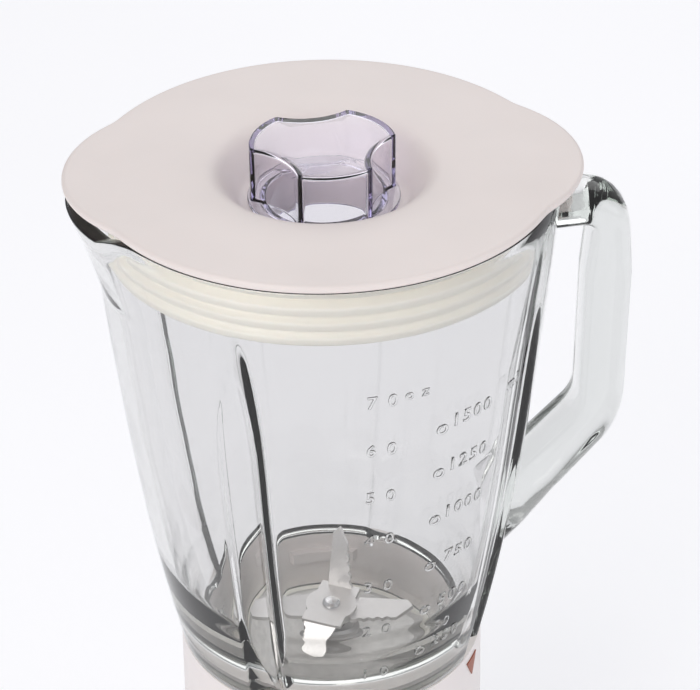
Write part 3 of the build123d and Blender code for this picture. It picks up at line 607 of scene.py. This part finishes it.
def jug_marks(material):
    """Raised scale on the wall: millilitres on the right, ounces on the left."""
    marks = []
    for amount, drop in MILLILITRES:
        marks.append((str(amount), -61.5 if amount > 999 else -59.5, LID_TOP - drop, 7.2))
        marks.append(("o", -66.0, LID_TOP - drop - 1.2, 8.5))
    marks.append(("ml", -41.5, LID_TOP - 58.5, 6.0))
    for ounces, drop in OUNCES:
        marks.append((" ".join(str(ounces)), -84.5, LID_TOP - drop, 6.6))
    marks.append(("o z", -75.0, LID_TOP - 44.0, 5.4))
    points, faces = [], []
    for text, angle, z, size in marks:
        flat, flat_faces = flat_text(text, size, 0.16, 0.12)
        base = len(points)
        points.extend(on_wall(flat, math.radians(angle), z, 0.05))
        faces.extend(tuple(base + i for i in face) for face in flat_faces)
    return new_piece("jug_scale_marks", points, faces, material, 30)


# ---- Lid, seal and cap ----------------------------------------------------------------

PLATE = 3.0             # thickness of the lid's rim
SKIRT_IN, SKIRT_OUT, SKIRT_LOW = 64.5, 67, 23
FEED_IN, FEED_OUT = 21.2, 23.2
DISH_DEPTH = 13.0
RIBS, RIB_PITCH = 4, 5.4
CAP_LOBE_START = math.radians(96.5)
CAP_OUTER = 24.2
CAP_WALL = 1.7
PLUG_OUT, PLUG_IN = 20.7, 18.9


def lid_outline_radius(angle):
    """Plan radius of the lid: a circle with two soft tabs on the X axis."""
    tab_r, tab_x = 46.5, TAB_REACH - 46.5
    turn = np.abs((angle + math.pi / 2) % math.pi - math.pi / 2)
    across = tab_x * np.sin(turn)
    tab = tab_x * np.cos(turn) + np.sqrt(np.maximum(tab_r ** 2 - across ** 2, 0))
    return np.minimum(soft_max(LID_R, tab, 0.9), TAB_REACH)


def lid_shell(material):
    """Moulded plate with a rolled edge, a dished middle and a short feed tube."""
    top, floor, low_end, edge = LID_TOP, LID_TOP - DISH_DEPTH, low("lid_shell").z, 1.4
    corners = [
        (FEED_IN, low_end, 0.6), (FEED_IN, floor, 0.8), (27.8, floor, 2.6), (35.4, top - 1.6, 4.0),
        (46, top, 6.0), (60, top, 0), (72, top, 0),
        (LID_R, top, edge * 1.6), (LID_R, top - PLATE, edge), (68.5, top - PLATE, 0.5),
        (SKIRT_OUT, top - PLATE, 0.4), (SKIRT_OUT, top - SKIRT_LOW, 0.6),
        (SKIRT_IN, top - SKIRT_LOW, 0.6), (SKIRT_IN, top - PLATE - 0.6, 1),
        (46, top - 3.1, 3), (37.6, top - 4, 4), (29.9, floor - 2.2, 3), (FEED_OUT, floor - 2.2, 1),
        (FEED_OUT, low_end, 0.6),
    ]
    outline = rounded(corners, 6)

    def reach(angle, r, z):
        """Pulls the rim out to the two tabs, and the flat top more gently."""
        grow = lid_outline_radius(angle) - LID_R
        share = np.clip((r - 68.5) / (LID_R - 68.5), 0, 1)
        upper = np.clip((r - 56) / (LID_R - 56), 0, 1)
        blend = np.where(z > top - 1.5, upper, share)
        return r + grow * blend, z

    return lathe("lid_plate", outline, material, 360, reach, 32)


def lid_seal(material):
    """Cream ring with soft ribs that reach for the glass."""
    under, foot = LID_TOP - PLATE, LID_TOP - SKIRT_LOW - 0.4
    corners = [(SKIRT_OUT, foot, 0.5), (69.6, foot, 0.9)]
    for k in reversed(range(RIBS)):
        middle = under - 2.6 - RIB_PITCH * k
        tip = wall_radius(middle) - WALL - 0.55
        corners += [
            (69.7, middle - 2.6, 0.7), (tip - 0.6, middle - 1.9, 0.8), (tip, middle + 0.3, 0.5),
            (tip - 0.2, middle + 1.0, 0.5), (69.8, middle + 1.7, 0.7),
        ]
    corners += [(69.6, under - 0.15, 0.5), (SKIRT_OUT, under - 0.15, 0.3)]
    return lathe("lid_seal_ribbed", rounded(corners, 4), material, 240)


def cap_radius(angle, inset):
    """Plan radius of the cap's grip: a circle with three hollows for the fingers."""
    hollow_r, hollow_x = 22.9 + inset, 40.4
    turn = np.abs((angle - CAP_LOBE_START + math.pi / 3) % (2 * math.pi / 3) - math.pi / 3)
    across = hollow_x * np.sin(turn)
    near = hollow_x * np.cos(turn) - np.sqrt(np.maximum(hollow_r ** 2 - across ** 2, 0))
    near = np.where(across < hollow_r, near, 99.0)
    round_r = CAP_OUTER - inset
    return -soft_max(-round_r, -near, 0.55)


def measuring_cap(material):
    """Clear cap: lobed cup, closed on top, over a round plug."""
    seat, top = LID_TOP - DISH_DEPTH + 0.1, CAP_TOP
    ceiling, plug_low = top - CAP_WALL, seat - 15
    # names stand for the radii and heights that change round the cap
    sections = [
        (0, top, 0), (8, top, 0), (15.5, top, 0), ("lobe", top, 0.9), ("lobe", "bend", 0.5),
        ("foot", "bend", 0.5), ("foot", seat, 0.5), (PLUG_OUT, seat, 0.4),
        (PLUG_OUT, plug_low, 0.6), (PLUG_IN, plug_low, 0.6), (PLUG_IN, "web", 0.6),
        ("inner", "web", 0.6), ("inner", ceiling, 0.8), (13, ceiling, 0), (7, ceiling, 0),
        (0, ceiling, 0),
    ]
    columns = 288
    angles = np.linspace(0, 2 * math.pi, columns, endpoint=False)
    outlines = []
    for angle in angles:
        lobe = float(cap_radius(np.array(angle), 0.0))
        inner = float(cap_radius(np.array(angle), CAP_WALL))
        web = seat + max(-1.5, min(1.5, inner - PLUG_IN))
        value = {"lobe": lobe, "inner": inner, "foot": CAP_OUTER + 1.0, "web": web,
                 "bend": seat + 1.4}
        corners = [(value.get(r, r), value.get(z, z), size) for r, z, size in sections]
        outlines.append(open_rounded(corners, 5))
    stack = np.array(outlines)
    rows = stack.shape[1]
    points = []
    for i in range(1, rows - 1):
        for k, angle in enumerate(angles):
            r, z = stack[k, i]
            points.append((r * math.cos(angle), r * math.sin(angle), z))
    first, last = len(points), len(points) + 1
    points += [(0, 0, top), (0, 0, ceiling)]
    faces = grid_faces(rows - 2, columns, False)
    end = (rows - 3) * columns
    for k in range(columns):
        n = (k + 1) % columns
        faces.append((first, n, k))
        faces.append((last, end + k, end + n))
    return new_piece("measuring_cap_clear", points, faces, material, 35)


def open_rounded(corners, steps):
    """As rounded, for an open outline: always steps + 1 points for a rounded corner."""
    points = []
    for i, (r, z, size) in enumerate(corners):
        here = np.array((r, z), float)
        if size == 0 or i in (0, len(corners) - 1):
            points.append(here)
            continue
        before = np.array(corners[i - 1][:2], float) - here
        after = np.array(corners[i + 1][:2], float) - here
        first, second = np.linalg.norm(before), np.linalg.norm(after)
        reach = min(size, first * 0.48, second * 0.48)
        a = here + before / max(first, 1e-6) * reach
        b = here + after / max(second, 1e-6) * reach
        for t in np.linspace(0, 1, steps + 1):
            points.append((1 - t) ** 2 * a + 2 * t * (1 - t) * here + t * t * b)
    return np.array(points)


# ---- Studio ---------------------------------------------------------------------------

def make_floor():
    """Large pale floor that the blender stands on."""
    size, cells = 6.0, 12
    bm = bmesh.new()
    bmesh.ops.create_grid(bm, x_segments=cells, y_segments=cells, size=size)
    mesh = bpy.data.meshes.new("floor")
    bm.to_mesh(mesh)
    bm.free()
    floor = bpy.data.objects.new("floor", mesh)
    bpy.context.scene.collection.objects.link(floor)
    m = Nodes("floor_white_paper")
    m.colour(m.noise(1.5, 2), (0.93, 0.93, 0.95), (0.95, 0.95, 0.97))
    m.set(Roughness=0.9, Specular_IOR_Level=0.1)
    m.set(Emission_Color=(0.98, 0.98, 1, 1), Emission_Strength=0.16)
    mesh.materials.append(m.material)


def area_light(name, place, target, size, power, colour=(1, 1, 1)):
    """Rectangular soft box at a place, turned to a target. Metres and watts."""
    data = bpy.data.lights.new(name, "AREA")
    data.shape = "RECTANGLE"
    data.size, data.size_y = size
    data.energy = power
    data.color = colour
    light = bpy.data.objects.new(name, data)
    light.location = place
    light.rotation_euler = (Vector(target) - Vector(place)).to_track_quat("-Z", "Y").to_euler()
    bpy.context.scene.collection.objects.link(light)


def make_studio():
    """Soft boxes over a pale floor, in a room that darkens towards the horizon."""
    world = bpy.data.worlds.new("studio")
    world.use_nodes = True
    tree = world.node_tree
    background = tree.nodes["Background"]
    coordinates = tree.nodes.new("ShaderNodeTexCoord")
    split = tree.nodes.new("ShaderNodeSeparateXYZ")
    ramp = tree.nodes.new("ShaderNodeValToRGB")
    ramp.color_ramp.elements[0].position = 0.0
    ramp.color_ramp.elements[0].color = (0.62, 0.63, 0.64, 1)
    ramp.color_ramp.elements[1].position = 0.6
    ramp.color_ramp.elements[1].color = (0.98, 0.98, 1.0, 1)
    tree.links.new(coordinates.outputs["Generated"], split.inputs["Vector"])
    tree.links.new(split.outputs["Z"], ramp.inputs["Fac"])
    tree.links.new(ramp.outputs["Color"], background.inputs["Color"])
    background.inputs["Strength"].default_value = 0.66
    bpy.context.scene.world = world
    middle = (0, 0, 0.25)
    area_light("key_soft_box", (-0.8, -1.2, 1.1), middle, (1.0, 1.0), 9.5, (1, 0.985, 0.965))
    area_light("fill_soft_box", (1.2, -0.6, 1.1), middle, (0.9, 1.2), 3.6, (0.97, 0.98, 1))
    area_light("back_soft_box", (0.3, 1.4, 1.3), middle, (1.4, 0.8), 4)


# ---- Assembly -------------------------------------------------------------------------

def build():
    """Camera, studio and floor, materials on the CAD nodes, then the modelled pieces."""
    bpy.context.scene.view_settings.view_transform = "Standard"
    make_camera()
    make_studio()
    make_floor()
    finish = make_materials()
    for node, name in CAD_FINISH.items():
        mesh = NODES[node].data
        mesh.materials.clear()
        mesh.materials.append(finish[name])

    jug = jug_body(finish["glass"])
    unite(jug, jug_handle(finish["glass"]))
    finish_mesh(jug.data, finish["glass"], 50)
    dress(jug, "glass_jug", "glass_clear", "jug_glass")
    dress(jug_marks(finish["mark"]), "glass_jug", "glass_clear")
    dress(lid_shell(finish["lid"]), "lid", "lid_plastic", "lid_shell")
    dress(lid_seal(finish["seal"]), "lid", "seal_cream", "lid_seal")
    dress(measuring_cap(finish["cap"]), "measuring_cap", "cap_clear", "measuring_cap")


build()
